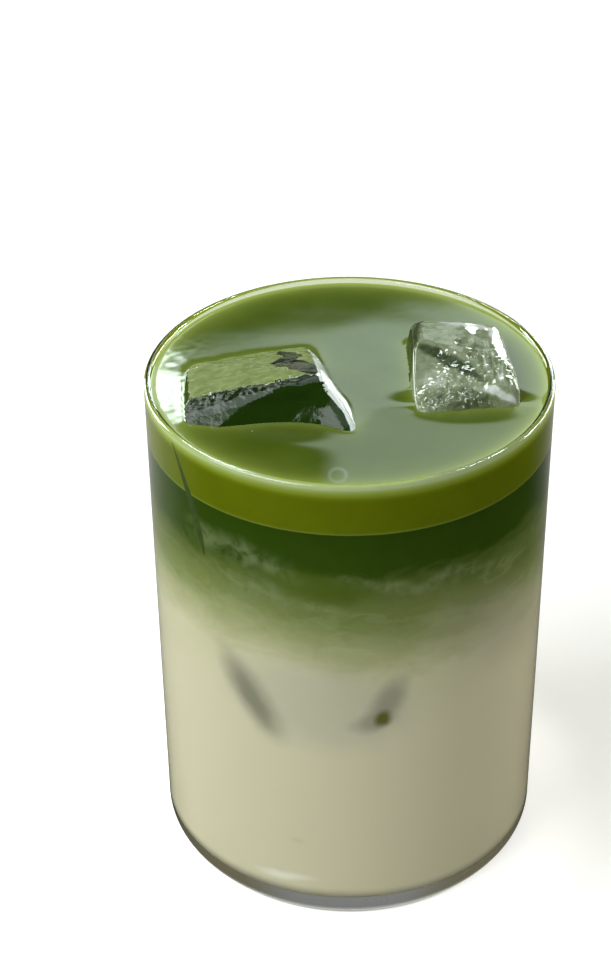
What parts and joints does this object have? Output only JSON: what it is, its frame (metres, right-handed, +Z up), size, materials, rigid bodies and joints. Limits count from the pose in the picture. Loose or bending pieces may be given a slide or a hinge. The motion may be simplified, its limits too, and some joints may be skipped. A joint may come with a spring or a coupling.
{
  "type": "iced matcha",
  "caption": "Iced matcha latte in a straight-sided clear tumbler: milk below, dark matcha, a pale green layer under the brim, ice standing out of the top.",
  "frame": {"origin": "centre of the tumbler's flat foot, on the surface it stands on", "axes": "+Z up along the tumbler's axis; -Y is the side that the picture shows"},
  "size_m": [0.08, 0.08, 0.1147],
  "materials": {
    "glass": "clear polished tumbler glass",
    "milk": "opaque cream milk, wet",
    "matcha": "dark green tea, clouded towards the milk",
    "matcha_pale": "smooth opaque lime green tea with a wet surface",
    "ice": "clear wet ice with melted edges"
  },
  "bodies": {
    "root": {"glass": "glass", "milk": "milk", "matcha": "matcha", "matcha_pale": "matcha_pale", "ice_left": "ice", "ice_right": "ice"}
  },
  "joints": []
}
